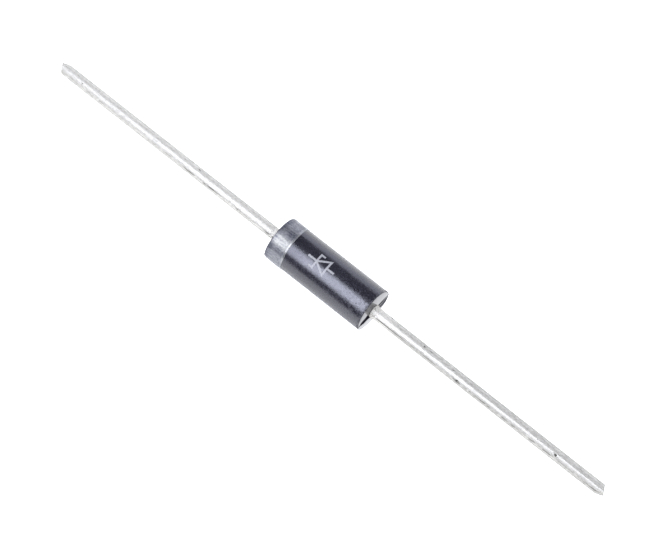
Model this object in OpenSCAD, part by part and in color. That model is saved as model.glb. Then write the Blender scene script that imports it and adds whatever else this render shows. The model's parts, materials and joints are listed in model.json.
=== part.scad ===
// Zener diode with axial leads and a moulded body, in millimetres, +Z up.
// The leads lie along X: the banded cathode end points to -X, the anode end to +X.
// The middle of the body is at the origin and the mould parts at z = 0.

/* [Body] */
// Length of the moulded body between the crests of its end faces
body_len = 8.85; // [7.5:0.05:11]
// Diameter of the moulded body
body_d = 3.45; // [3:0.05:5]
// Rounding of the body's two rims
rim_r = 0.08; // [0.06:0.01:0.25]
// Draft of the end faces on each side of the parting line, in degrees
draft = 2; // [0.5:0.5:3]
// Width of the parting seam
seam_w = 0.08; // [0.05:0.01:0.15]
// Height of the parting seam above the body
seam_h = 0.02; // [0.015:0.005:0.025]

/* [Cathode band] */
// Distance of the printed band from the start of the rim's rounding
band_inset = 0.06; // [0:0.01:0.5]
// Width of the printed band along the body
band_w = 1.42; // [0.6:0.02:2.5]
// Thickness of the band's ink
band_t = 0.04; // [0.035:0.005:0.06]

/* [Leads] */
// Diameter of each tinned lead
lead_d = 0.95; // [0.75:0.01:1.1]
// Length of each lead outside the body
lead_len = 21.1; // [8:0.1:31]
// Length of the tin's run-up at the root of each lead
root_len = 0.6; // [0.55:0.05:1]
// Extra radius of that run-up where it meets the body
root_rise = 0.07; // [0.04:0.01:0.12]
// Angle of the long cutter face to the wire, in degrees
long_cut = 28; // [22:1:40]
// Angle of the short cutter face to the wire, in degrees
short_cut = 62; // [50:1:75]
// Distance of the cut's edge from the wire's axis
cut_offset = 0.13; // [0:0.01:0.25]
// Diameter of the nail head inside the body
head_d = 1.9; // [1.85:0.05:2.2]
// Thickness of the nail head
head_t = 0.55; // [0.4:0.05:0.8]
// Length of the cone between the nail head and the wire
neck_len = 0.25; // [0.15:0.05:0.4]
// Extra radius of that cone at the nail head
neck_rise = 0.22; // [0.1:0.02:0.3]

/* [Junction] */
// Side of the square silicon die
die_side = 1.3; // [0.9:0.05:1.3]
// Thickness of the die
die_t = 0.25; // [0.15:0.01:0.4]
// Thickness of the solder on each face of the die
solder_t = 0.05; // [0.03:0.01:0.1]
// How far the coating laps over the rim of each nail head
coat_lap = 0.2; // [0.1:0.05:0.35]
// Thickness of the coating at its two ends
coat_t = 0.1; // [0.06:0.01:0.15]
// Bulge of the coating in its middle beyond its ends
coat_bulge = 0.1; // [0.05:0.01:0.15]

/* [Hidden] */
$fn = 96;
body_r = body_d / 2;
lead_r = lead_d / 2;
head_r = head_d / 2;
body_half = body_len / 2;

// The rims are turned a little beyond the end faces, so that the draft cuts into their rounds
rim_over = 0.02;
rim_x = body_half + rim_over - rim_r;
seam_corner_r = rim_r + seam_h;
band_x = rim_x - band_inset;

// The stack from the middle of the die outwards: die, solder, nail head, wire
solder_x = die_t / 2;
head_x = solder_x + solder_t;
wire_x = head_x + head_t;
tip_x = body_half + lead_len;
cut_reach = lead_d;

// The coating's outline is one arc through its middle and its two ends
coat_half = head_x + coat_lap;
coat_end_r = head_r + coat_t;
coat_mid_r = coat_end_r + coat_bulge;
coat_arc_r = (coat_half * coat_half + coat_bulge * coat_bulge) / (2 * coat_bulge);

epoxy_black = [0.12, 0.12, 0.15];
ink_silver = [0.62, 0.63, 0.66];
tin_white = [0.84, 0.84, 0.83];
silicon_grey = [0.3, 0.32, 0.37];
solder_grey = [0.6, 0.61, 0.63];
silicone_white = [0.88, 0.87, 0.83];

// Turns what stands along +Z to lie along +X
module along_x() {
  rotate([0, 90, 0]) children();
}

// A round bar or cone on the lead's axis, from x0 to x1
module bar(x0, x1, r0, r1) {
  along_x() translate([0, 0, x0]) cylinder(h = x1 - x0, r1 = r0, r2 = r1);
}

// A square plate across the axis, from x0 to x1
module plate(x0, x1, side) {
  translate([x0, -side / 2, -side / 2]) cube([x1 - x0, side, side]);
}

// Half section of the body: radius to the right, the axis upwards
module body_section() {
  end = rim_x + rim_r;
  translate([0, -rim_x]) square([body_r, 2 * rim_x]);
  translate([0, -end]) square([body_r - rim_r, 2 * end]);
  for (side = [-1, 1]) {
    translate([body_r - rim_r, side * rim_x]) circle(r = rim_r);
  }
}

// The block between the drafted end faces, which crest at the parting line
module drafted_block() {
  drop = body_d * tan(draft);
  rotate([90, 0, 0]) linear_extrude(height = 2 * body_d, center = true) polygon([
    [body_half, 0],
    [body_half - drop, body_d],
    [drop - body_half, body_d],
    [-body_half, 0],
    [drop - body_half, -body_d],
    [body_half - drop, -body_d]
  ]);
}

// The thin raised seam all round the body where the two halves of the mould met
module seam() {
  x = body_half + seam_h;
  y = body_r + seam_h;
  linear_extrude(height = seam_w, center = true) {
    square([2 * (x - seam_corner_r), 2 * y], center = true);
    square([2 * x, 2 * (y - seam_corner_r)], center = true);
    for (sx = [-1, 1], sy = [-1, 1]) {
      translate([sx * (x - seam_corner_r), sy * (y - seam_corner_r)]) circle(r = seam_corner_r);
    }
  }
}

// Outside of the body, still solid
module body_form() {
  intersection() {
    along_x() rotate_extrude() body_section();
    drafted_block();
  }
  seam();
}

// The wire with its pinch-cut tip: two flat cutter faces that meet in one edge across the wire
module cut_wire() {
  long_x = tip_x - (cut_reach - cut_offset) / tan(long_cut);
  short_x = tip_x - (cut_reach + cut_offset) / tan(short_cut);
  intersection() {
    bar(wire_x, tip_x, lead_r, lead_r);
    linear_extrude(height = 2 * cut_reach, center = true) polygon([
      [0, -cut_reach],
      [long_x, -cut_reach],
      [tip_x, -cut_offset],
      [short_x, cut_reach],
      [0, cut_reach]
    ]);
  }
}

// One lead, pointing to +X: nail head, neck, wire and the tin's run-up at its root
module lead() {
  cut_wire();
  bar(head_x, wire_x, head_r, head_r);
  bar(wire_x, wire_x + neck_len, lead_r + neck_rise, lead_r);
  bar(body_half, body_half + root_len, lead_r + root_rise, lead_r);
}

// The same lead turned round, pointing to -X
module turned_lead() {
  rotate([0, 0, 180]) lead();
}

// Outside of the coating, still solid: a barrel round the die and the rims of the nail heads
module coating_form() {
  along_x() rotate_extrude() intersection() {
    translate([0, -coat_half]) square([coat_mid_r, 2 * coat_half]);
    translate([coat_mid_r - coat_arc_r, 0]) circle(r = coat_arc_r);
  }
}

module epoxy_body() {
  color(epoxy_black) difference() {
    body_form();
    lead();
    turned_lead();
    coating_form();
  }
}

module cathode_band() {
  color(ink_silver) difference() {
    bar(-band_x, band_w - band_x, body_r + band_t, body_r + band_t);
    bar(-body_half, body_half, body_r, body_r);
    seam();
  }
}

module cathode_lead() {
  color(tin_white) turned_lead();
}

module anode_lead() {
  color(tin_white) lead();
}

module zener_die() {
  color(silicon_grey) plate(-solder_x, solder_x, die_side);
}

module cathode_solder() {
  color(solder_grey) plate(-head_x, -solder_x, die_side);
}

module anode_solder() {
  color(solder_grey) plate(solder_x, head_x, die_side);
}

module junction_coating() {
  color(silicone_white) difference() {
    coating_form();
    lead();
    turned_lead();
    plate(-head_x, head_x, die_side);
  }
}

epoxy_body();
cathode_band();
cathode_lead();
anode_lead();
zener_die();
cathode_solder();
anode_solder();
junction_coating();
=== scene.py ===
"""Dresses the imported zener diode: moulded body, printed band, tinned leads, studio and camera."""

import json
import logging
import math
from collections.abc import Callable, Iterable
from dataclasses import dataclass
from enum import Enum
from typing import Any

import bmesh
import bpy
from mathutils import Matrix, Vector


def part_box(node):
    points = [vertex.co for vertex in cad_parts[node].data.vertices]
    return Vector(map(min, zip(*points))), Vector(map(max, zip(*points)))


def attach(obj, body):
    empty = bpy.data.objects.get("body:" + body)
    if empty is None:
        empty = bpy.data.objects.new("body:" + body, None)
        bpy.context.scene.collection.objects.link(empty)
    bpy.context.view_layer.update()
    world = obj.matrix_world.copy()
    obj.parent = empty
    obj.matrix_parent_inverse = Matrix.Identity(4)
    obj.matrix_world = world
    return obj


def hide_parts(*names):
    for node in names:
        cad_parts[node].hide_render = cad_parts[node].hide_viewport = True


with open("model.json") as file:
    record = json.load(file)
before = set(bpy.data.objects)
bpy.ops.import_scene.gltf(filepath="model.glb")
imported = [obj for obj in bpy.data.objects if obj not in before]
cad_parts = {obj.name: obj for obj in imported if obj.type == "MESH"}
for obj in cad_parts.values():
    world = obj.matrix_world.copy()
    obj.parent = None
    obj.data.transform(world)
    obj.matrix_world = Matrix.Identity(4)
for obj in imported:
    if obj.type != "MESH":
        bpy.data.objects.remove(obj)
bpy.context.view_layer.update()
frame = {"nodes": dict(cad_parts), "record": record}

BODY = "root"
PHOTO_WIDTH = 666
log = logging.getLogger("zener_diode")

# Metres in a millimetre; sizes are in millimetres unless their names say otherwise
MM = 0.001
# How near a point has to be to count as lying on a plane or at a radius
NEAR = 1e-4
# How near two points have to be to count as one
WELD = 1e-5

ALONG = (1.0, 0.0, 0.0)
ACROSS = (0.0, 1.0, 0.0)
UP = (0.0, 0.0, 1.0)

Points = list[Vector]
Triple = tuple[float, float, float]
Colour = tuple[float, float, float, float]
# A place on a line, and a radius, height or growth there
Station = tuple[float, float]
# Where a smooth step leaves 0, and where it reaches 1
Ramp = tuple[float, float]

# Places of the Mix node's colour sockets, which share their names with its other sockets
MIX_SHARE = 0
MIX_ONE = 6
MIX_OTHER = 7
MIX_RESULT = 2


class Part(Enum):
    """What a selection in edit mode holds."""

    VERT = "verts"
    EDGE = "edges"
    FACE = "faces"


class Pole(Enum):
    """The two ends of the diode, with the side of the body that each lead leaves."""

    CATHODE = -1
    ANODE = 1


def millimetres(length: float) -> float:
    """A length of the frame in millimetres, without the last digits of its storage."""
    return round(length / MM, 4)


@dataclass(frozen=True)
class PackageSizes:
    """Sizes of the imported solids, which the dressed pieces keep."""

    body_radius: float
    body_half: float
    seam_height: float
    band_start: float
    band_stop: float
    ground: float
    wire_radius: float
    head_radius: float
    head_face: float
    tip: float

    @classmethod
    def from_frame(cls) -> "PackageSizes":
        """Measure the frame's nodes and the first of its pins.

        The parting seam stands out of the body on Y and at its ends, and isn't there on Z.

        Returns:
            The sizes.
        """
        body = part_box("epoxy_body")[1]
        band_low, band_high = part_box("cathode_band")
        lead_low, lead_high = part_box("anode_lead")
        seam_height = body.y - body.z
        pin = frame["record"]["mounts"][0]["dims"]
        return cls(
            body_radius=millimetres(body.z),
            body_half=millimetres(body.x - seam_height),
            seam_height=millimetres(seam_height),
            band_start=millimetres(band_low.x),
            band_stop=millimetres(band_high.x),
            ground=millimetres(band_low.z),
            wire_radius=pin["r_mm"],
            head_radius=millimetres(lead_high.z),
            head_face=millimetres(lead_low.x),
            tip=millimetres(lead_high.x),
        )


SIZES = PackageSizes.from_frame()


@dataclass(frozen=True)
class Noise:
    """A soft pattern from 0 to 1.

    Its scale is grains in a millimetre, its detail octaves, its roughness the weight of the finer
    octaves, and its stretch holds factors that draw it out or press it together.
    """

    scale: float
    detail: float = 2.0
    roughness: float = 0.5
    stretch: Triple = (1.0, 1.0, 1.0)


@dataclass(frozen=True)
class Window:
    """A soft window: 1 up to one distance from its middle, and 0 past a longer one."""

    middle: float
    full: float
    none: float


class Value:
    """A number that flows through a shader tree; its operators add the Math nodes."""

    def __init__(self, tree: "ShaderTree", socket: bpy.types.NodeSocket) -> None:
        """Wrap one output socket of a tree."""
        self.tree = tree
        self.socket = socket

    def __add__(self, other: "Value | float") -> "Value":
        """Sum."""
        return self.tree.math("ADD", self, other)

    def __radd__(self, other: float) -> "Value":
        """Sum, with the number on the left."""
        return self.tree.math("ADD", other, self)

    def __sub__(self, other: "Value | float") -> "Value":
        """Difference."""
        return self.tree.math("SUBTRACT", self, other)

    def __rsub__(self, other: float) -> "Value":
        """Difference, with the number on the left."""
        return self.tree.math("SUBTRACT", other, self)

    def __mul__(self, other: "Value | float") -> "Value":
        """Product."""
        return self.tree.math("MULTIPLY", self, other)

    def __rmul__(self, other: float) -> "Value":
        """Product, with the number on the left."""
        return self.tree.math("MULTIPLY", other, self)

    def __truediv__(self, other: "Value | float") -> "Value":
        """Quotient."""
        return self.tree.math("DIVIDE", self, other)

    def __neg__(self) -> "Value":
        """The number with its sign turned."""
        return self.tree.math("MULTIPLY", self, -1.0)

    def __abs__(self) -> "Value":
        """The number without its sign."""
        return self.tree.math("ABSOLUTE", self)

    def at_most(self, other: "Value | float") -> "Value":
        """The smaller of two numbers."""
        return self.tree.math("MINIMUM", self, other)

    def at_least(self, other: "Value | float") -> "Value":
        """The larger of two numbers."""
        return self.tree.math("MAXIMUM", self, other)

    def swing(self) -> "Value":
        """A pattern's value about its middle, from -0.5 to 0.5."""
        return self - 0.5

    def rise(self, start: float, stop: float) -> "Value":
        """A smooth step from 0 to 1.

        Args:
            start: Where the step leaves 0.
            stop: Where it reaches 1; below start for a step that falls.

        Returns:
            The step's value.
        """
        settings = {"interpolation_type": "SMOOTHSTEP"}
        low, high = min(start, stop), max(start, stop)
        ends = (0.0, 1.0) if start < stop else (1.0, 0.0)
        inputs = {"Value": self, "From Min": low, "From Max": high, "To Min": ends[0], "To Max": ends[1]}
        return self.tree.value("ShaderNodeMapRange", settings, inputs, "Result")

    def within(self, window: Window) -> "Value":
        """How far inside a soft window the number is, from 0 to 1."""
        return abs(self - window.middle).rise(window.none, window.full)


class ShaderTree:
    """One shader tree, filled node by node."""

    def __init__(self, tree: bpy.types.NodeTree) -> None:
        """Take a tree and empty it."""
        self.tree = tree
        tree.nodes.clear()

    def node(
        self,
        kind: str,
        settings: dict[str, Any] | None = None,
        inputs: dict[str | int, Any] | None = None,
    ) -> bpy.types.Node:
        """Add a node.

        Args:
            kind: The node's type.
            settings: Its own settings, set before its sockets.
            inputs: A number, colour, Value or socket for each socket, by name or place.

        Returns:
            The new node.
        """
        node = self.tree.nodes.new(kind)
        for name, setting in (settings or {}).items():
            setattr(node, name, setting)
        for name, given in (inputs or {}).items():
            socket = node.inputs[name]
            if isinstance(given, Value):
                given = given.socket
            if isinstance(given, bpy.types.NodeSocket):
                self.tree.links.new(given, socket)
            else:
                socket.default_value = given
        return node

    def value(
        self, kind: str, settings: dict[str, Any], inputs: dict[str | int, Any], output: str | int
    ) -> Value:
        """Add a node and wrap one of its outputs.

        Args:
            kind: The node's type.
            settings: Its own settings.
            inputs: A value or link for each socket.
            output: The output's name or place.

        Returns:
            That output as a number.
        """
        return Value(self, self.node(kind, settings, inputs).outputs[output])

    def math(self, operation: str, *terms: Value | float) -> Value:
        """Add a Math node over its terms."""
        return self.value("ShaderNodeMath", {"operation": operation}, dict(enumerate(terms)), "Value")

    def split(self, vector: bpy.types.NodeSocket) -> tuple[Value, Value, Value]:
        """The three numbers of a vector."""
        node = self.node("ShaderNodeSeparateXYZ", {}, {"Vector": vector})
        return Value(self, node.outputs[0]), Value(self, node.outputs[1]), Value(self, node.outputs[2])

    def place(self, stretch: Triple = (1.0, 1.0, 1.0)) -> bpy.types.NodeSocket:
        """Where a point is on its piece, in millimetres.

        Args:
            stretch: Factors along X, Y and Z that draw a pattern out or press it together.

        Returns:
            The vector's socket.
        """
        coordinates = self.node("ShaderNodeTexCoord").outputs["Object"]
        scale = tuple(factor / MM for factor in stretch)
        settings = {"operation": "MULTIPLY"}
        return self.node("ShaderNodeVectorMath", settings, {0: coordinates, 1: scale}).outputs[0]

    def turn_deg(self, y: Value, z: Value) -> Value:
        """The angle round the leads' axis from straight up, growing towards the front, in degrees."""
        return self.math("ARCTAN2", -y, z) * math.degrees(1.0)

    def noise(self, pattern: Noise) -> Value:
        """Lay a soft pattern over the piece.

        Args:
            pattern: Its scale, octaves and stretch.

        Returns:
            The pattern, from 0 to 1.
        """
        inputs = {
            "Vector": self.place(pattern.stretch),
            "Scale": pattern.scale,
            "Detail": pattern.detail,
            "Roughness": pattern.roughness,
        }
        return self.value("ShaderNodeTexNoise", {"noise_dimensions": "3D"}, inputs, 0)

    def blend(self, share: Value, one: Any, other: Any) -> bpy.types.NodeSocket:
        """Mix two colours.

        Args:
            share: How much of the other colour, from 0 to 1.
            one: The first colour or its socket.
            other: The other colour or its socket.

        Returns:
            The mixed colour's socket.
        """
        settings = {"data_type": "RGBA", "clamp_factor": True}
        inputs = {MIX_SHARE: share, MIX_ONE: one, MIX_OTHER: other}
        return self.node("ShaderNodeMix", settings, inputs).outputs[MIX_RESULT]

    def bump(self, height: Value, depth: float, strength: float = 1.0) -> bpy.types.NodeSocket:
        """Turn a height into a shaded relief.

        Args:
            height: The relief, from 0 to 1.
            depth: What 1 stands for, in millimetres.
            strength: How much of the relief shows.

        Returns:
            The normal's socket.
        """
        inputs = {"Height": height, "Distance": depth * MM, "Strength": strength}
        return self.node("ShaderNodeBump", {}, inputs).outputs["Normal"]

    def surface(self, inputs: dict[str, Any]) -> None:
        """Close a material with one principled surface."""
        shader = self.node("ShaderNodeBsdfPrincipled", {}, inputs)
        self.node("ShaderNodeOutputMaterial", {}, {"Surface": shader.outputs[0]})


class Finish:
    """A material made of shader nodes."""

    name = "finish"

    def material(self) -> bpy.types.Material:
        """Make the material once, and share it from then on.

        Returns:
            The finish as a material.
        """
        made = bpy.data.materials.get(self.name)
        if made is None:
            made = bpy.data.materials.new(self.name)
            made.use_nodes = True
            self.lay(ShaderTree(made.node_tree))
        return made

    def lay(self, tree: ShaderTree) -> None:
        """Lay out the finish's nodes in an empty tree."""
        raise NotImplementedError

    def dress(self, piece: bpy.types.Object) -> None:
        """Give a piece this finish alone."""
        piece.data.materials.clear()
        piece.data.materials.append(self.material())


@dataclass(frozen=True)
class PolarityMark:
    """The diode's circuit symbol, burnt pale into the top of the body, pointing at the band.

    Its places are along the body, and round it from the mark's own middle.
    """

    middle: float = -0.3
    lean_deg: float = 7.0
    body_radius: float = SIZES.body_radius
    half_height: float = 0.59
    base: float = 0.52
    apex: float = -0.41
    hook: float = 0.27
    wing: float = 1.18
    stroke: float = 0.072
    blur: float = 0.022
    fraying: Noise = Noise(16.0)
    fray: float = 0.05

    def mask(self, tree: ShaderTree) -> Value:
        """Where the mark is.

        Args:
            tree: The tree of the body's finish.

        Returns:
            1 on the mark's strokes and 0 off them, with burnt, uneven edges.
        """
        x, y, z = tree.split(tree.place())
        along = x - self.middle
        round_by = (tree.turn_deg(y, z) - self.lean_deg) * (math.radians(1.0) * self.body_radius)
        slope = self.half_height / (self.base - self.apex)
        length = math.hypot(1.0, slope)
        flank = (abs(round_by) - (along - self.apex) * slope) / length
        filled = flank.at_least(along - self.base)
        triangle = abs(filled) - self.stroke
        bar = self.box(along, round_by, (self.apex, 0.0), (self.stroke, self.half_height + self.stroke))
        bend = (along - self.apex) * tree.math("SIGN", round_by)
        half = self.hook / 2
        hooks = self.box(bend, abs(round_by), (-half, self.half_height), (half + self.stroke, self.stroke))
        wings = self.box(along, round_by, (0.0, 0.0), (self.wing, self.stroke)).at_least(-filled)
        edge = triangle.at_most(bar).at_most(hooks).at_most(wings)
        ragged = tree.noise(self.fraying).swing() * self.fray
        return (edge + ragged).rise(self.blur, -self.blur)

    @staticmethod
    def box(along: Value, across: Value, middle: Station, half: Station) -> Value:
        """Distance to a box, less than 0 inside it.

        Args:
            along: Place along the body.
            across: Place round the body.
            middle: The box's middle, along the body and round it.
            half: Half its length and half its height.

        Returns:
            The distance.
        """
        return (abs(along - middle[0]) - half[0]).at_least(abs(across - middle[1]) - half[1])


@dataclass(frozen=True)
class MouldedEpoxy(Finish):
    """Black filled epoxy as it leaves the mould: fine spark-eroded grain and a cool sheen.

    The end faces are smooth, the rims worn, and the grain coarser towards the anode. On the crown
    beside the band the reflection is dimmed as painted shade, standing for dimmer light there.
    """

    name = "moulded_epoxy"
    dark: Colour = (0.0085, 0.0085, 0.0135, 1.0)
    worn: Colour = (0.021, 0.021, 0.0285, 1.0)
    burnt: Colour = (0.26, 0.263, 0.275, 1.0)
    sheen: Colour = (0.92, 0.93, 1.0, 1.0)
    index: float = 1.72
    relief: float = 0.008
    grain: Noise = Noise(15.0, roughness=0.6)
    pebble: Noise = Noise(6.5, roughness=0.6, stretch=(0.8, 1.0, 1.0))
    cloud: Noise = Noise(0.8, detail=3.0, stretch=(0.5, 1.0, 1.0))
    speck: Noise = Noise(5.5)
    speck_ramp: Ramp = (0.68, 0.8)
    cloud_ramp: Ramp = (0.35, 0.75)
    speck_wear: float = 0.4
    cloud_wear: float = 0.4
    pebble_wear: float = 1.3
    pebble_level: float = 0.45
    gloss: float = 0.23
    grain_gloss: float = 0.2
    pebble_gloss: float = 0.3
    cloud_gloss: float = 0.08
    coarse_gloss: float = 1.6
    coarse_ramp: Ramp = (1.0, 3.8)
    grain_relief: float = 0.25
    pebble_relief: float = 0.75
    rim_gloss: float = 0.65
    rim_zone: Ramp = (4.17, 4.36)
    rim_ramp: Ramp = (0.3, 0.6)
    end_gloss: float = 0.08
    end_radius: float = 1.64
    end_edge_mm2: float = 0.12
    end_polish: float = 0.7
    skin: float = 0.35
    skin_gloss: float = 0.07
    skin_ramp: Ramp = (0.0, 0.1)
    torn_gloss: float = 0.8
    gate_along: Ramp = (4.2, 4.3)
    gate_across: Ramp = (0.5, 0.6)
    gate_top: Ramp = (-0.05, -0.15)
    gate_bottom: Ramp = (-0.95, -0.85)
    gate_fray: float = 0.2
    painted_dimming: float = 0.22
    dimming_along: Window = Window(-2.9, 0.5, 1.8)
    dimming_round_deg: Window = Window(14.0, 20.0, 30.0)
    burnt_gloss: float = 0.52
    mark_floor: float = 0.6
    mark_speckle: float = 0.7
    mark_relief: float = 0.3
    mark: PolarityMark = PolarityMark()

    def lay(self, tree: ShaderTree) -> None:
        """Lay out the finish's nodes.

        Args:
            tree: The material's empty tree.
        """
        x, y, z = tree.split(tree.place())
        grain = tree.noise(self.grain)
        pebble = tree.noise(self.pebble)
        cloud = tree.noise(self.cloud)
        mark = self.mark.mask(tree) * (self.mark_floor + self.mark_speckle * pebble)
        wear = cloud.rise(*self.cloud_ramp) * self.cloud_wear
        wear = wear + (pebble - self.pebble_level) * self.pebble_wear
        wear = wear + tree.noise(self.speck).rise(*self.speck_ramp) * self.speck_wear
        ends = (y * y + z * z).rise(self.end_radius**2 + self.end_edge_mm2, self.end_radius**2)
        rims = abs(x).rise(*self.rim_zone) * (1.0 - ends)
        torn = self.torn(x, y, z, pebble.swing() * self.gate_fray)
        smooth = ends * (1.0 - torn)
        coarse = x.rise(*self.coarse_ramp)
        uneven = self.grain_gloss * grain.swing() + self.pebble_gloss * pebble.swing()
        rough = self.gloss + uneven * (1.0 + self.coarse_gloss * coarse) + self.cloud_gloss * cloud.swing()
        rough = rough + mark * (self.burnt_gloss - self.gloss)
        rough = rough + rims * pebble.rise(*self.rim_ramp) * (self.rim_gloss - self.gloss)
        rough = rough * (1.0 - smooth) + smooth * self.end_gloss + torn * self.torn_gloss
        height = (grain * self.grain_relief + pebble * (self.pebble_relief + rims)) * (1.0 + coarse)
        height = height * (1.0 - self.end_polish * smooth) + mark * self.mark_relief
        # Painted shade: the crown beside the band gets a share of metal, which dims its reflection where the
        # light was dimmer
        painted_dimming = x.within(self.dimming_along) * tree.turn_deg(y, z).within(self.dimming_round_deg)
        tree.surface(
            {
                "Base Color": tree.blend(mark, tree.blend(wear, self.dark, self.worn), self.burnt),
                "Metallic": painted_dimming * self.painted_dimming,
                "Roughness": rough,
                "IOR": self.index,
                "Specular Tint": self.sheen,
                "Coat Weight": smooth * z.rise(*self.skin_ramp) * self.skin,
                "Coat Roughness": self.skin_gloss,
                "Normal": tree.bump(height, self.relief),
            }
        )

    def torn(self, x: Value, y: Value, z: Value, fray: Value) -> Value:
        """Where the mould's gate was broken off the anode's end face, below the parting line.

        Args:
            x: Place along the body.
            y: Place across it.
            z: Height.
            fray: What frays the patch's edges.

        Returns:
            1 on the torn patch and 0 off it.
        """
        below = (z + fray).rise(*self.gate_top) * (z + fray).rise(*self.gate_bottom)
        return x.rise(*self.gate_along) * (y + fray).rise(*self.gate_across) * below


@dataclass(frozen=True)
class BandInk(Finish):
    """Silver-grey ink laid round the body in fine passes, scuffed where the diode was handled.

    It is full on the crown and at the back, and stands in a bead along the band's inner edge.
    Painted shade darkens and cools it on the flanks and in a strip beside the highlight; on the
    crown, where the highlight falls, a warmer silver and a lighter bead are a painted highlight.
    """

    name = "silver_ink"
    # Painted lit and unlit tones of one ink: silver on the crown, where the highlight falls, cool elsewhere
    silver: Colour = (0.229, 0.229, 0.215, 1.0)
    cool: Colour = (0.229, 0.234, 0.246, 1.0)
    thin: Colour = (0.031, 0.035, 0.058, 1.0)
    thick: Colour = (0.345, 0.346, 0.345, 1.0)
    flakes: float = 0.52
    relief: float = 0.016
    streak: Noise = Noise(7.5, 3.0, 0.6, (0.22, 1.0, 1.0))
    laps: Noise = Noise(7.0, 2.0, 0.6, (1.0, 0.22, 0.22))
    grain: Noise = Noise(9.0, 3.0, 0.65)
    scratch: Noise = Noise(10.0, 3.0, 0.7, (1.7, 1.0, 1.0))
    scratch_ramp: Ramp = (0.4, 0.68)
    scuff_middle: Triple = (-3.34, 0.08, 1.72)
    scuff_ramp: Ramp = (0.5, 0.1)
    band_lit_side_deg: float = 20.0
    flank_deg: Ramp = (15.0, 75.0)
    back_deg: Ramp = (115.0, 85.0)
    highlight_zone_deg: Window = Window(24.0, 9.0, 20.0)
    strip_deg: Window = Window(26.0, 4.0, 12.0)
    start: float = SIZES.band_start
    start_ramp: Ramp = (0.5, 0.0)
    edge: float = SIZES.band_stop
    edge_skew: float = -0.042
    streak_lack: float = 1.3
    streak_level: float = 0.42
    lap_lack: float = 0.25
    grain_lack: float = 1.6
    scuff_lack: float = 1.2
    painted_flank_shade: float = 0.5
    painted_strip_shade: float = 0.2
    start_lack: float = 0.4
    bead_ramp: Ramp = (0.17, 0.12)
    bead_floor: float = 0.4
    bead_flank: float = 0.95
    bead_strip: float = 0.35
    bead_crown: float = 0.3
    gloss: float = 0.35
    grain_gloss: float = 0.25
    streak_gloss: float = 0.2
    bead_gloss: float = 0.2
    lap_relief: float = 0.3
    streak_relief: float = 0.3
    grain_relief: float = 0.4
    scuff_relief: float = 0.5

    def lay(self, tree: ShaderTree) -> None:
        """Lay out the finish's nodes.

        Args:
            tree: The material's empty tree.
        """
        x, y, z = tree.split(tree.place())
        streaks = tree.noise(self.streak)
        laps = tree.noise(self.laps)
        grain = tree.noise(self.grain)
        scuff = self.scuff(tree)
        round_deg = tree.turn_deg(y, z)
        aside = abs(round_deg - self.band_lit_side_deg)
        # The crown is where the highlight falls; there the ink is painted a warmer silver and the bead
        # lighter, a painted highlight
        crown = round_deg.within(self.highlight_zone_deg)
        # Painted shade: the ink is darkened and cooled on the flanks, away from the lit side, and in a strip
        # beside the highlight
        flank = aside.rise(*self.flank_deg) * aside.rise(*self.back_deg)
        strip = aside.within(self.strip_deg)
        ink_lack_and_shade = (streaks - self.streak_level) * self.streak_lack + laps.swing() * self.lap_lack
        ink_lack_and_shade = ink_lack_and_shade + grain.swing() * self.grain_lack + scuff * self.scuff_lack
        ink_lack_and_shade = ink_lack_and_shade + flank * self.painted_flank_shade + strip * self.painted_strip_shade
        ink_lack_and_shade = ink_lack_and_shade + (x - self.start).rise(*self.start_ramp) * self.start_lack
        bead = (self.edge + self.edge_skew * y - x).rise(*self.bead_ramp)
        # The bead is painted lighter on the crown and darker on the flanks and the strip: painted highlight
        # and shade
        laid = bead * (self.bead_floor + grain) * (1.0 - scuff)
        laid = laid * (1.0 - self.bead_flank * flank - self.bead_strip * strip)
        laid = laid * (1.0 - self.bead_crown + self.bead_crown * crown)
        colour = tree.blend(ink_lack_and_shade, tree.blend(crown, self.cool, self.silver), self.thin)
        rough = self.gloss + self.grain_gloss * grain.swing() + self.streak_gloss * streaks.swing()
        height = laps * self.lap_relief + streaks * self.streak_relief + grain * self.grain_relief
        tree.surface(
            {
                "Base Color": tree.blend(laid, colour, self.thick),
                "Roughness": rough - self.bead_gloss * bead,
                "Metallic": self.flakes,
                "Normal": tree.bump(height - scuff * self.scuff_relief, self.relief),
            }
        )

    def scuff(self, tree: ShaderTree) -> Value:
        """The scuffed patch on the crown.

        Args:
            tree: The finish's tree.

        Returns:
            1 where the ink is scratched through and 0 where it is whole.
        """
        settings = {"operation": "DISTANCE"}
        ends = {0: tree.place(), 1: self.scuff_middle}
        beside = tree.value("ShaderNodeVectorMath", settings, ends, "Value")
        return beside.rise(*self.scuff_ramp) * tree.noise(self.scratch).rise(*self.scratch_ramp)


@dataclass(frozen=True)
class WirePlace:
    """Where a point is on a lead, and the patterns there that the tin's colour and relief share."""

    x: Value
    from_root: Value
    round_deg: Value
    near: Value
    close: Value
    drawn: Value
    mottle: Value
    specks: Value


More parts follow.
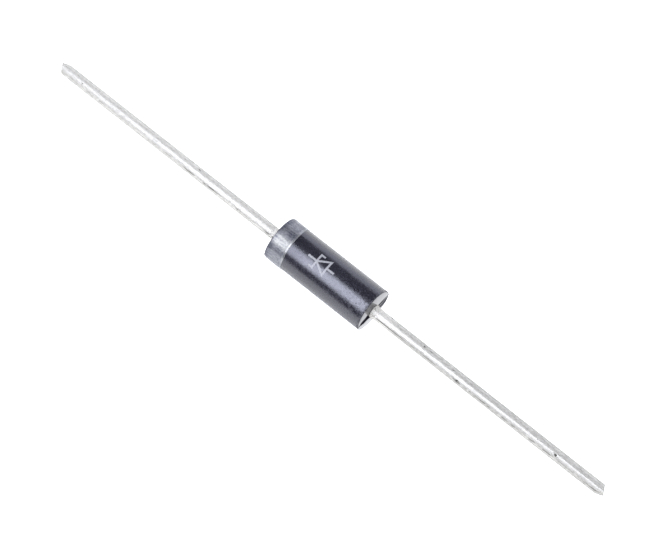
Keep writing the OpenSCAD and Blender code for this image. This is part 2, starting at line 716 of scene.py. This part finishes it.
@dataclass(frozen=True)
class SatinTin(Finish):
    """Satin tin on drawn copper wire: lengthwise draw marks, mottling and a few small nicks.

    A dark line runs along each lead just below its highlight, at the same angle on both, and the tin
    has flooded up at the body.
    The anode's lead, which is near in the photograph, is duller than the cathode's. Painted shade
    dulls both leads' flanks, away from their lit side, and a little of the anode lead's highlight zone.
    """

    name = "satin_tin"
    bright: Colour = (0.52, 0.511, 0.474, 1.0)
    dull: Colour = (0.29, 0.285, 0.265, 1.0)
    nicked: Colour = (0.06, 0.058, 0.052, 1.0)
    flooded: Colour = (0.57, 0.557, 0.515, 1.0)
    metal: float = 0.33
    index: float = 1.22
    relief: float = 0.022
    root: float = SIZES.body_half
    drawn: Noise = Noise(9.0, 3.0, 0.6, (0.07, 1.0, 1.0))
    mottle: Noise = Noise(8.5, 3.0, 0.6, (0.55, 1.0, 1.0))
    dent: Noise = Noise(2.4, stretch=(0.45, 0.8, 0.8))
    speck: Noise = Noise(14.0, 3.0, 0.65)
    lump: Noise = Noise(5.5, 3.0, 0.6)
    nick: Noise = Noise(4.0, stretch=(0.5, 1.0, 1.0))
    nick_ramp: Ramp = (0.69, 0.75)
    close_ramp: Ramp = (3.0, 0.3)
    close_nicks: float = 0.05
    gap: Noise = Noise(0.9, 3.0, 0.65, (1.0, 0.3, 0.3))
    gap_ramp: Ramp = (0.42, 0.62)
    whole_ramp: Ramp = (4.2, 2.0)
    line_deg: Window = Window(55.0, 3.0, 7.5)
    line_sway_deg: float = 4.0
    line_floor: float = 0.35
    line_gain: float = 0.5
    line_fade: Ramp = (-17.0, -12.0)
    near_tarnish: float = 0.24
    close_tarnish: float = 0.75
    wire_lit_side_deg: float = 17.0
    flank_shade_ramp_deg: Ramp = (35.0, 70.0)
    flank_painted_shade: float = 0.45
    highlight_zone_deg: Window = Window(27.0, 8.0, 20.0)
    crown_painted_shade: float = 0.1
    mottle_level: float = 0.36
    mottle_tarnish: float = 2.2
    crown_calm: float = 1.2
    drawn_tarnish: float = 0.8
    close_specks: float = 2.0
    flood_ramp: Ramp = (0.75, 0.3)
    flood_sway: float = 0.8
    flood_share: float = 1.3
    lump_ramp: Ramp = (0.46, 0.62)
    lump_share: float = 1.2
    flood_speck_ramp: Ramp = (0.58, 0.64)
    flood_specks: float = 0.8
    flood_metal: float = 0.4
    gloss: float = 0.37
    mottle_gloss: float = 0.25
    drawn_gloss: float = 0.15
    nick_gloss: float = 0.2
    flooded_gloss: float = 0.4
    drawn_relief: float = 0.2
    mottle_relief: float = 0.24
    dent_relief: float = 0.16
    near_calm: float = 0.45
    nick_depth: float = 0.4
    line_depth: float = 0.4
    lump_relief: float = 1.6

    def lay(self, tree: ShaderTree) -> None:
        """Lay out the finish's nodes.

        Args:
            tree: The material's empty tree.
        """
        at = self.read(tree)
        lumps = tree.noise(self.lump)
        nicks = (tree.noise(self.nick) + at.close * self.close_nicks).rise(*self.nick_ramp)
        line = self.dark_line_below_highlight(tree, at)
        flood = (at.from_root + at.mottle.swing() * self.flood_sway).rise(*self.flood_ramp)
        flooded = flood * (self.flood_share - self.lump_share * lumps.rise(*self.lump_ramp))
        pits = flood * at.specks.rise(*self.flood_speck_ramp) * self.flood_specks
        colour = tree.blend(self.tarnish_and_shade(at), self.bright, self.dull)
        colour = tree.blend((nicks + line).at_most(1.0), colour, self.nicked)
        colour = tree.blend(flooded, colour, self.flooded)
        colour = tree.blend(pits, colour, self.nicked)
        rough = self.gloss + self.mottle_gloss * at.mottle.swing() + self.drawn_gloss * at.drawn.swing()
        rough = rough + self.nick_gloss * nicks + flood * (self.flooded_gloss - self.gloss)
        height = at.drawn * self.drawn_relief + at.mottle * self.mottle_relief
        height = (height + tree.noise(self.dent) * self.dent_relief) * (1.0 - self.near_calm * at.near)
        height = height - nicks * self.nick_depth - line * self.line_depth + flood * lumps * self.lump_relief
        tree.surface(
            {
                "Base Color": colour,
                "Metallic": self.metal * (1.0 - self.flood_metal * flood),
                "IOR": self.index,
                "Roughness": rough,
                "Normal": tree.bump(height, self.relief),
            }
        )

    def read(self, tree: ShaderTree) -> WirePlace:
        """Find the place on the lead and the patterns there.

        Args:
            tree: The finish's tree.

        Returns:
            The place, with near at 1 on the anode's lead and close at 1 beside the body.
        """
        x, y, z = tree.split(tree.place())
        from_root = abs(x) - self.root
        return WirePlace(
            x=x,
            from_root=from_root,
            round_deg=tree.turn_deg(y, z),
            near=x.rise(-self.root, self.root),
            close=from_root.rise(*self.close_ramp),
            drawn=tree.noise(self.drawn),
            mottle=tree.noise(self.mottle),
            specks=tree.noise(self.speck),
        )

    def dark_line_below_highlight(self, tree: ShaderTree, at: WirePlace) -> Value:
        """The dark line along the wire, broken here and there and whole near the body.

        Args:
            tree: The finish's tree.
            at: The place on the lead.

        Returns:
            How dark the line is, from 0 to 1.
        """
        shown = tree.noise(self.gap).rise(*self.gap_ramp)
        shown = shown.at_least(at.from_root.rise(*self.whole_ramp) * at.near)
        # The line sits at the same angle on both leads, just below the highlight
        line = (at.round_deg + at.drawn.swing() * self.line_sway_deg).within(self.line_deg) * shown
        return line * (self.line_floor + self.line_gain * at.x.rise(*self.line_fade))

    def tarnish_and_shade(self, at: WirePlace) -> Value:
        """How dull the tin is, with painted shade on the flanks and on the near lead's highlight zone.

        Args:
            at: The place on the lead.

        Returns:
            0 on bright tin and 1 on dull tin.
        """
        # Painted shade: the near lead's highlight zone is a little duller with calmer mottling, and both
        # leads are duller on their flanks, away from the lit side
        crown = at.round_deg.within(self.highlight_zone_deg) * at.near
        flank = abs(at.round_deg - self.wire_lit_side_deg).rise(*self.flank_shade_ramp_deg)
        dull = at.near * (self.near_tarnish - self.close_tarnish * at.close) + flank * self.flank_painted_shade
        dull = dull + (at.mottle - self.mottle_level) * (self.mottle_tarnish - self.crown_calm * crown)
        dull = dull + at.drawn.swing() * self.drawn_tarnish + crown * self.crown_painted_shade
        return dull + at.specks.swing() * (1.0 + self.close_specks * at.close)


@dataclass(frozen=True)
class MottledSkin(Finish):
    """A skin of two colours that one pattern mixes, with its gloss and relief."""

    base: Colour
    fleck: Colour
    pattern: Noise
    metal: float
    gloss: float
    uneven: float
    relief: float
    strength: float

    def lay(self, tree: ShaderTree) -> None:
        """Lay out the finish's nodes.

        Args:
            tree: The material's empty tree.
        """
        pattern = tree.noise(self.pattern)
        tree.surface(
            {
                "Base Color": tree.blend(pattern, self.base, self.fleck),
                "Metallic": self.metal,
                "Roughness": self.gloss + self.uneven * pattern,
                "Normal": tree.bump(pattern, self.relief, self.strength),
            }
        )


@dataclass(frozen=True)
class Silicon(MottledSkin):
    """Polished silicon with faint saw lines on its edges."""

    name = "polished_silicon"
    base: Colour = (0.1, 0.11, 0.14, 1.0)
    fleck: Colour = (0.19, 0.2, 0.24, 1.0)
    pattern: Noise = Noise(5.0, stretch=(9.0, 0.4, 0.4))
    metal: float = 0.6
    gloss: float = 0.16
    uneven: float = 0.2
    relief: float = 0.002
    strength: float = 0.4


@dataclass(frozen=True)
class SoftSolder(MottledSkin):
    """Grey solder with a frosted, crystalline skin."""

    name = "soft_solder"
    base: Colour = (0.55, 0.56, 0.58, 1.0)
    fleck: Colour = (0.3, 0.31, 0.33, 1.0)
    pattern: Noise = Noise(14.0, 4.0, 0.7)
    metal: float = 1.0
    gloss: float = 0.35
    uneven: float = 0.25
    relief: float = 0.004
    strength: float = 0.5


@dataclass(frozen=True)
class CuredSilicone(MottledSkin):
    """Milky silicone, cured with a soft skin."""

    name = "cured_silicone"
    base: Colour = (0.78, 0.77, 0.72, 1.0)
    fleck: Colour = (0.9, 0.89, 0.85, 1.0)
    pattern: Noise = Noise(3.0, 3.0, 0.55)
    metal: float = 0.0
    gloss: float = 0.3
    uneven: float = 0.2
    relief: float = 0.01
    strength: float = 0.4


@dataclass(frozen=True)
class LitTable(Finish):
    """A matt white table lit from below."""

    name = "lit_table"
    white: Colour = (0.2, 0.2, 0.2, 1.0)
    tint: Colour = (0.97, 0.98, 1.0, 1.0)
    glow: float = 1.72
    gloss: float = 0.9

    def lay(self, tree: ShaderTree) -> None:
        """Lay out the finish's nodes.

        Args:
            tree: The material's empty tree.
        """
        tree.surface(
            {
                "Base Color": self.white,
                "Roughness": self.gloss,
                "Specular IOR Level": 0.0,
                "Emission Color": self.tint,
                "Emission Strength": self.glow,
            }
        )


class Bench:
    """One piece held open in edit mode, in millimetres, with selection by place."""

    def __init__(self, name: str) -> None:
        """Name the piece that the next primitive starts."""
        self.name = name
        self.piece: bpy.types.Object | None = None

    def cylinder(self, radius: float, start: float, stop: float, sides: int, closed: bool = True) -> None:
        """Add the cylinder that the piece starts from, along X.

        Args:
            radius: Its radius.
            start: Where it starts on X.
            stop: Where it stops on X.
            sides: Sides round it.
            closed: Whether it has end faces.
        """
        bpy.ops.object.select_all(action="DESELECT")
        bpy.ops.mesh.primitive_cylinder_add(
            vertices=sides,
            radius=radius,
            depth=stop - start,
            end_fill_type="NGON" if closed else "NOTHING",
            location=((start + stop) / 2, 0.0, 0.0),
            rotation=(0.0, math.pi / 2, 0.0),
        )
        self.piece = bpy.context.object
        self.piece.name = self.piece.data.name = self.name
        settle()
        bpy.ops.object.mode_set(mode="EDIT")

    def pick(self, part: Part, test: Callable[[Points], bool]) -> None:
        """Select the vertices, edges or faces whose points pass a test, and nothing else.

        Args:
            part: What to select.
            test: Takes a part's points and says whether it is wanted.
        """
        bpy.ops.mesh.select_mode(type=part.name)
        bpy.ops.mesh.select_all(action="DESELECT")
        mesh = bmesh.from_edit_mesh(self.piece.data)
        for item in getattr(mesh, part.value):
            points = [item.co] if part is Part.VERT else [vert.co for vert in item.verts]
            if test(points):
                item.select_set(True)
        mesh.select_flush_mode()
        bmesh.update_edit_mesh(self.piece.data)

    def cut(self, point: Triple, normal: Triple, away: bool = False) -> None:
        """Cut all that is selected along a plane.

        Args:
            point: A point of the plane.
            normal: The plane's normal.
            away: Whether what lies beyond the plane is cut off and the cut closed.
        """
        bpy.ops.mesh.bisect(
            plane_co=point, plane_no=normal, use_fill=away, clear_outer=away, threshold=WELD
        )

    def score(self, x: float) -> None:
        """Cut a ring round the whole piece at a place on X."""
        bpy.ops.mesh.select_all(action="SELECT")
        self.cut((x, 0.0, 0.0), ALONG)

    def swell(self, factor: float, x: float) -> None:
        """Scale what is selected away from the axis at a place on X."""
        bpy.ops.transform.resize(value=(1.0, factor, factor), center_override=(x, 0.0, 0.0))

    def draw_out(self, stations: Iterable[Station], start: Station) -> None:
        """Extrude the selected end face from station to station.

        Args:
            stations: Place on X and radius, one after the other.
            start: The end face's own place and radius.
        """
        last_x, last_radius = start
        for x, radius in stations:
            bpy.ops.mesh.extrude_region_move(TRANSFORM_OT_translate={"value": (x - last_x, 0.0, 0.0)})
            self.swell(radius / last_radius, x)
            last_x, last_radius = x, radius

    def done(self, crease_deg: float) -> bpy.types.Object:
        """Close the piece, bring it to metres and shade it.

        Args:
            crease_deg: The angle past which an edge stays sharp.

        Returns:
            The finished piece, with its place in its mesh.
        """
        bpy.ops.mesh.select_all(action="SELECT")
        bpy.ops.mesh.remove_doubles(threshold=WELD)
        bpy.ops.mesh.normals_make_consistent(inside=False)
        bpy.ops.object.mode_set(mode="OBJECT")
        self.piece.scale = (MM, MM, MM)
        settle()
        bpy.ops.object.shade_smooth_by_angle(angle=math.radians(crease_deg))
        return self.piece


def settle() -> None:
    """Put the selected piece's place, turn and scale into its mesh."""
    bpy.ops.object.transform_apply(location=True, rotation=True, scale=True)


def reach(point: Vector) -> float:
    """How far a point is from the leads' axis."""
    return math.hypot(point.y, point.z)


def seat(piece: bpy.types.Object, node: str) -> None:
    """Let a piece stand for a CAD node, on the diode's one body.

    Args:
        piece: The finished piece.
        node: The node that it replaces.
    """
    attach(piece, BODY)
    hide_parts(node)
    log.info("%s stands for %s with %d faces", piece.name, node, len(piece.data.polygons))


@dataclass(frozen=True)
class NailHead:
    """The lead's head inside the body and the neck behind it, which the body is moulded round."""

    wire_radius: float = SIZES.wire_radius
    radius: float = SIZES.head_radius
    face: float = SIZES.head_face
    thickness: float = 0.55
    neck_length: float = 0.25
    neck_rise: float = 0.22

    def neck(self) -> tuple[Station, ...]:
        """The steps from the wire to the head's rim.

        Returns:
            Place on X and radius of the neck's foot, the neck's top and the head's rim.
        """
        back = self.face + self.thickness
        return (
            (back + self.neck_length, self.wire_radius),
            (back, self.wire_radius + self.neck_rise),
            (back, self.radius),
        )


@dataclass(frozen=True)
class EpoxyBody:
    """The moulded body: rounded rims, drafted ends, parting seam and the cavity round the junction.

    The barrel is the cavity's round part from its end to its middle. Each step of the flash has
    its reach from the axis and what it adds; where the gate was trimmed off, less of it is left.
    """

    radius: float = SIZES.body_radius
    half: float = SIZES.body_half
    rim: float = 0.08
    rim_steps: int = 7
    draft_deg: float = 2.0
    seam_width: float = 0.08
    seam_height: float = SIZES.seam_height
    seam_share: float = 0.75
    seam_ragged: float = 0.1
    seam_seed: int = 5
    crest_share: float = 0.4
    flash: tuple[Station, ...] = ((1.46, 0.02), (1.4, 0.03), (1.25, 0.03), (0.7, 0.02))
    trimmed_flash: tuple[Station, ...] = ((1.3, 0.01), (0.9, 0.01))
    flash_slack: float = 0.01
    head: NailHead = NailHead()
    barrel: tuple[Station, ...] = ((0.375, 1.05), (0.2, 1.123), (0.0, 1.15))
    skin_depth: float = 0.01
    rim_slack: float = 0.001
    sides: int = 192
    crease_deg: float = 32.0
    finish: MouldedEpoxy = MouldedEpoxy()

    def build(self) -> bpy.types.Object:
        """Model the body.

        Returns:
            The finished piece.
        """
        bench = Bench("moulded_body")
        bench.cylinder(self.radius, -self.half, self.half, self.sides)
        bench.pick(Part.EDGE, lambda points: all(abs(p.x) > self.half - NEAR for p in points))
        bpy.ops.mesh.bevel(offset=self.rim, segments=self.rim_steps, affect="EDGES")
        for pole in Pole:
            self.hollow(bench, pole)
        bench.pick(Part.FACE, lambda points: all(abs(p.x) < NEAR for p in points))
        bpy.ops.mesh.delete(type="FACE")
        self.raise_seam(bench)
        self.draft_ends(bench)
        return bench.done(self.crease_deg)

    def hollow(self, bench: Bench, pole: Pole) -> None:
        """Sink the lead's bore and half of the cavity from one end face.

        Args:
            bench: The bench that holds the body.
            pole: The end.
        """
        side = pole.value
        bore = self.head.wire_radius
        bench.pick(Part.FACE, lambda points: all(p.x * side > self.half - NEAR for p in points))
        bpy.ops.mesh.inset(thickness=self.radius - self.rim - bore)
        cavity = (*self.head.neck(), (self.barrel[0][0], self.head.radius), *self.barrel)
        bench.draw_out([(side * x, radius) for x, radius in cavity], (side * self.half, bore))

    def outside(self, points: Points) -> bool:
        """Whether a face is on the body's outer skin."""
        flat = self.half - self.rim - self.rim_slack
        return all(reach(p) > self.radius - self.skin_depth or abs(p.x) > flat for p in points)

    def on_seam(self, points: Points) -> bool:
        """Whether a face of the outer skin lies where the mould's halves met."""
        return self.outside(points) and all(abs(p.z) < self.seam_width / 2 + NEAR for p in points)

    def raise_seam(self, bench: Bench) -> None:
        """Raise the parting seam all round, a little ragged along its top.

        Args:
            bench: The bench that holds the body.
        """
        for side in (-1, 1):
            bench.pick(Part.FACE, self.outside)
            bench.cut((0.0, 0.0, side * self.seam_width / 2), UP)
        for y, _ in (*self.flash, *self.trimmed_flash):
            for side in (-1, 1):
                bench.pick(Part.FACE, self.on_seam)
                bench.cut((0.0, side * y, 0.0), ACROSS)
        bench.pick(Part.FACE, self.on_seam)
        raised = self.seam_height * self.seam_share
        bpy.ops.mesh.extrude_region_shrink_fatten(TRANSFORM_OT_shrink_fatten={"value": raised})
        ragged = self.seam_height * self.seam_ragged
        bpy.ops.transform.vertex_random(offset=ragged, seed=self.seam_seed)
        for pole in Pole:
            for side in (-1, 1):
                trimmed = pole is Pole.ANODE and side > 0
                self.squeeze(bench, pole, side, self.trimmed_flash if trimmed else self.flash)

    def squeeze(self, bench: Bench, pole: Pole, side: int, flash: tuple[Station, ...]) -> None:
        """Let the flash stand further out of one end face, tapering towards the rim.

        Args:
            bench: The bench that holds the body.
            pole: The end.
            side: The side of the lead, -1 or 1 on Y.
            flash: How far from the axis each step of the flash reaches, and what it adds.
        """
        crest = self.half + self.seam_height * self.crest_share
        for y, grow in flash:
            stop = y + self.flash_slack
            bench.pick(
                Part.VERT,
                lambda points: points[0].x * pole.value > crest and 0.0 < points[0].y * side < stop,
            )
            bpy.ops.transform.translate(value=(pole.value * grow, 0.0, 0.0))

    def draft_ends(self, bench: Bench) -> None:
        """Lean both halves of each end face back from the parting plane.

        Args:
            bench: The bench that holds the body.
        """
        lean = math.radians(self.draft_deg)
        start = self.half - self.rim + self.rim_slack
        for side in (-1, 1):
            crest = (side * self.half, 0.0, 0.0)
            for half in (-1, 1):
                bench.pick(
                    Part.VERT, lambda points: points[0].x * side > start and points[0].z * half > NEAR
                )
                bpy.ops.transform.rotate(value=lean * side * half, orient_axis="Y", center_override=crest)

    def dress(self, piece: bpy.types.Object) -> None:
        """Give the body its finish and its place."""
        self.finish.dress(piece)
        seat(piece, "epoxy_body")


@dataclass(frozen=True)
class CathodeBand:
    """The printed ring at the cathode end, with a bead along the edge where the ink stopped.

    The ink's height on the body is given along the band, from its outer edge and from its inner one.
    """

    start: float = SIZES.band_start
    stop: float = SIZES.band_stop
    body_radius: float = SIZES.body_radius
    film: float = 0.022
    outer: tuple[Station, ...] = ((0.0, 0.014), (0.03, 0.022), (0.1, 0.023))
    inner: tuple[Station, ...] = (
        (-0.32, 0.023),
        (-0.23, 0.023),
        (-0.18, 0.008),
        (-0.13, 0.03),
        (-0.11, 0.031),
        (-0.025, 0.03),
        (0.0, 0.012),
    )
    edge_share: float = 0.25
    edge_ragged: float = 0.003
    edge_seed: int = 8
    skew_deg: float = 2.4
    sides: int = 192
    crease_deg: float = 50.0
    finish: BandInk = BandInk()

    def build(self) -> bpy.types.Object:
        """Model the band.

        Returns:
            The finished piece.
        """
        film = self.body_radius + self.film
        bench = Bench("printed_band")
        bench.cylinder(film, self.start, self.stop, self.sides, closed=False)
        rings = self.rings()
        for x, _ in rings[1:-1]:
            bench.score(x)
        for x, height in rings:
            bench.pick(Part.VERT, lambda points: abs(points[0].x - x) < NEAR)
            bench.swell((self.body_radius + height) / film, x)
        self.thicken(bench)
        zone = self.stop - self.edge_share * (self.stop - self.start)
        bench.pick(Part.VERT, lambda points: points[0].x > zone)
        bpy.ops.transform.vertex_random(offset=self.edge_ragged, seed=self.edge_seed)
        turn = -math.radians(self.skew_deg)
        bpy.ops.transform.rotate(value=turn, orient_axis="Z", center_override=(self.stop, 0.0, 0.0))
        return bench.done(self.crease_deg)

    def rings(self) -> list[Station]:
        """The rings of the ink's outline.

        Returns:
            Place on X and height on the body, from the outer edge to the inner one.
        """
        outer = [(self.start + along, height) for along, height in self.outer]
        return outer + [(self.stop + along, height) for along, height in self.inner]

    def thicken(self, bench: Bench) -> None:
        """Close the ring down to the body's skin.

        Args:
            bench: The bench that holds the ring.
        """
        rings = self.rings()
        for x, height in (rings[0], rings[-1]):
            bench.pick(Part.EDGE, lambda points: all(abs(p.x - x) < NEAR for p in points))
            bpy.ops.mesh.extrude_edges_move(TRANSFORM_OT_translate={"value": (0.0, 0.0, 0.0)})
            bench.swell(self.body_radius / (self.body_radius + height), x)
        skin = self.body_radius + NEAR
        bench.pick(Part.EDGE, lambda points: all(reach(p) < skin for p in points))
        bpy.ops.mesh.bridge_edge_loops()

    def dress(self, piece: bpy.types.Object) -> None:
        """Give the band its finish and its place."""
        self.finish.dress(piece)
        seat(piece, "cathode_band")


@dataclass(frozen=True)
class Lead:
    """A tinned lead: nail head, wire, tin run-up at the body and a pinch-cut tip.

    The run-up's shares are its rings along its length, and its hollow is the power of its curve.
    """

    radius: float = SIZES.wire_radius
    head: NailHead = NailHead()
    root: float = SIZES.body_half
    root_length: float = 0.6
    root_rise: float = 0.07
    root_hollow: float = 1.8
    root_step: float = 0.01
    root_shares: tuple[float, ...] = (0.0, 0.08, 0.2, 0.36, 0.58, 0.8, 1.0)
    tip: float = SIZES.tip
    cut_offset: float = 0.13
    long_cut_deg: float = 28.0
    short_cut_deg: float = 62.0
    burr: float = 0.025
    burr_steps: int = 2
    sides: int = 64
    crease_deg: float = 38.0
    finish: SatinTin = SatinTin()

    def build(self) -> bpy.types.Object:
        """Model the anode's lead.

        Returns:
            The finished piece.
        """
        foot, *steps = self.head.neck()
        foot_x = foot[0]
        bench = Bench("anode_wire")
        bench.cylinder(self.radius, foot_x, self.tip, self.sides)
        bench.pick(Part.FACE, lambda points: all(p.x < foot_x + NEAR for p in points))
        bench.draw_out((*steps, (self.head.face, self.head.radius)), foot)
        self.pinch(bench)
        self.run_up(bench)
        return bench.done(self.crease_deg)

    def cut_normals(self) -> tuple[Triple, Triple]:
        """The outward normals of the two faces that the cutter left.

        Returns:
            The long face's normal and the short face's.
        """
        long_cut, short_cut = math.radians(self.long_cut_deg), math.radians(self.short_cut_deg)
        long_normal = (math.sin(long_cut), -math.cos(long_cut), 0.0)
        return long_normal, (math.sin(short_cut), math.cos(short_cut), 0.0)

    def pinch(self, bench: Bench) -> None:
        """Cut the tip along two planes that meet in one edge, and dull the cut's edges.

        Args:
            bench: The bench that holds the lead.
        """
        for normal in self.cut_normals():
            bpy.ops.mesh.select_all(action="SELECT")
            bench.cut((self.tip, -self.cut_offset, 0.0), normal, away=True)
        bench.pick(Part.EDGE, self.on_cut)
        bpy.ops.mesh.bevel(offset=self.burr, segments=self.burr_steps, affect="EDGES")

    def on_cut(self, points: Points) -> bool:
        """Whether an edge lies in one of the two cut faces."""
        edge = Vector((self.tip, -self.cut_offset, 0.0))
        return any(all(abs((p - edge).dot(normal)) < NEAR for p in points) for normal in self.cut_normals())

    def run_up(self, bench: Bench) -> None:
        """Let the tin climb against the body in a short hollow curve.

        Args:
            bench: The bench that holds the lead.
        """
        bench.score(self.root - self.root_step)
        for share in self.root_shares:
            bench.score(self.root + share * self.root_length)
        for share in self.root_shares[:-1]:
            x = self.root + share * self.root_length
            rise = self.root_rise * (1.0 - share) ** self.root_hollow
            bench.pick(Part.VERT, lambda points: abs(points[0].x - x) < NEAR)
            bench.swell(1.0 + rise / self.radius, x)

    @staticmethod
    def turned(piece: bpy.types.Object) -> bpy.types.Object:
        """Copy the lead and turn the copy round for the cathode.

        Args:
            piece: The anode's lead.

        Returns:
            The cathode's lead, with its own mesh.
        """
        bpy.ops.object.select_all(action="DESELECT")
        piece.select_set(True)
        bpy.context.view_layer.objects.active = piece
        bpy.ops.object.duplicate()
        copy = bpy.context.object
        copy.name = copy.data.name = "cathode_wire"
        copy.rotation_euler = (0.0, 0.0, math.pi)
        settle()
        return copy

    def dress(self, piece: bpy.types.Object, pole: Pole) -> None:
        """Give a lead its finish and its place at one pole."""
        self.finish.dress(piece)
        seat(piece, f"{pole.name.lower()}_lead")


@dataclass(frozen=True)
class Junction:
    """The die, its solder films and the coating, which keep their CAD solids."""

    finishes: tuple[tuple[str, Finish], ...] = (
        ("zener_die", Silicon()),
        ("cathode_solder", SoftSolder()),
        ("anode_solder", SoftSolder()),
        ("junction_coating", CuredSilicone()),
    )

    def dress(self) -> None:
        """Give each inner node its finish."""
        for node, finish in self.finishes:
            finish.dress(frame["nodes"][node])
            log.info("%s wears %s", node, finish.name)


@dataclass(frozen=True)
class Panel:
    """A soft panel of light that runs along the diode.

    Angles are from straight up, towards the front where they are above 0. The panel's far and
    near ends are shares along the diode's axis.
    """

    start_deg: float
    stop_deg: float
    edge_deg: float
    far: float
    near: float
    edge: float
    strength: float

    def light(self, lean_deg: Value, along: Value) -> Value:
        """The panel's light.

        Args:
            lean_deg: A direction's angle from straight up.
            along: Its share along the diode's axis.

        Returns:
            The light from that direction.
        """
        soft = self.edge_deg
        lit = lean_deg.rise(self.start_deg - soft, self.start_deg + soft)
        lit = lit * lean_deg.rise(self.stop_deg + soft, self.stop_deg - soft)
        lit = lit * along.rise(self.far - self.edge, self.far + self.edge)
        return lit * along.rise(self.near + self.edge, self.near - self.edge) * self.strength


@dataclass(frozen=True)
class Studio:
    """A light table under a dim room, with a softbox above the front and a pale sweep behind."""

    table_m: float = 2.0
    ground: float = SIZES.ground
    room: float = 0.2
    backdrop: float = 0.9
    tint: Colour = (0.94, 0.965, 1.09, 1.0)
    lamp: float = 1.95
    lamp_spread_deg: float = 120.0
    panels: tuple[Panel, ...] = (
        Panel(start_deg=6.5, stop_deg=53.5, edge_deg=9.0, far=-0.48, near=-0.02, edge=0.1, strength=5.6),
        Panel(start_deg=6.5, stop_deg=53.5, edge_deg=9.0, far=-0.8, near=0.75, edge=0.15, strength=1.6),
        Panel(start_deg=-120.0, stop_deg=-61.0, edge_deg=3.0, far=-0.9, near=0.9, edge=0.2, strength=1.7),
    )
    finish: LitTable = LitTable()

    def build(self) -> None:
        """Lay the table and light the room."""
        bpy.ops.object.select_all(action="DESELECT")
        bpy.ops.mesh.primitive_plane_add(size=self.table_m, location=(0.0, 0.0, self.ground * MM))
        table = bpy.context.object
        table.name = "light_table"
        settle()
        self.finish.dress(table)
        self.light()
        self.hang_lamp()

    def light(self) -> None:
        """Light the room with its panels, and show the camera a plain backdrop."""
        world = bpy.data.worlds.new("studio")
        world.use_nodes = True
        bpy.context.scene.world = world
        tree = ShaderTree(world.node_tree)
        x, y, z = tree.split(tree.node("ShaderNodeTexCoord").outputs["Generated"])
        lean_deg = tree.turn_deg(y, z)
        glow: Value | float = self.room
        for panel in self.panels:
            glow = glow + panel.light(lean_deg, x)
        seen = Value(tree, tree.node("ShaderNodeLightPath").outputs["Is Camera Ray"])
        glow = glow * (1.0 - seen) + seen * self.backdrop
        shader = tree.node("ShaderNodeBackground", {}, {"Color": self.tint, "Strength": glow})
        tree.node("ShaderNodeOutputWorld", {}, {"Surface": shader.outputs[0]})

    def hang_lamp(self) -> None:
        """Hang a broad lamp overhead, which lights the diode and isn't mirrored in it."""
        lamp = bpy.data.lights.new("overhead_lamp", "SUN")
        lamp.energy = self.lamp
        lamp.angle = math.radians(self.lamp_spread_deg)
        hung = bpy.data.objects.new("overhead_lamp", lamp)
        hung.visible_glossy = False
        bpy.context.scene.collection.objects.link(hung)


@dataclass(frozen=True)
class PhotoCamera:
    """The camera where the photograph was taken, held level."""

    azimuth_deg: float = 40.455
    elevation_deg: float = 67.056
    distance: float = 250.0
    target: Triple = (0.5111, 0.1402, -0.0951)
    focal_px: float = 3493.0
    sensor: float = 36.0
    clip_start_m: float = 0.01
    clip_end_m: float = 10.0

    def build(self) -> None:
        """Set up the scene's camera."""
        turn, lift = math.radians(self.azimuth_deg), math.radians(self.elevation_deg)
        level = math.cos(lift)
        back = Vector((math.sin(turn) * level, -math.cos(turn) * level, math.sin(lift)))
        lens = bpy.data.cameras.new("photo_camera")
        lens.sensor_width = self.sensor
        lens.lens = self.sensor * self.focal_px / PHOTO_WIDTH
        lens.clip_start = self.clip_start_m
        lens.clip_end = self.clip_end_m
        camera = bpy.data.objects.new("photo_camera", lens)
        bpy.context.scene.collection.objects.link(camera)
        camera.location = (Vector(self.target) + back * self.distance) * MM
        camera.rotation_euler = (-back).to_track_quat("-Z", "Y").to_euler()
        bpy.context.scene.camera = camera


def main() -> None:
    """Build every piece in order, then the studio and the camera."""
    logging.basicConfig(level=logging.INFO, format="%(name)s: %(message)s")
    bpy.context.scene.view_settings.view_transform = "Standard"
    body = EpoxyBody()
    body.dress(body.build())
    band = CathodeBand()
    band.dress(band.build())
    lead = Lead()
    anode = lead.build()
    cathode = lead.turned(anode)
    lead.dress(anode, Pole.ANODE)
    lead.dress(cathode, Pole.CATHODE)
    Junction().dress()
    Studio().build()
    PhotoCamera().build()


if __name__ == "__main__":
    main()
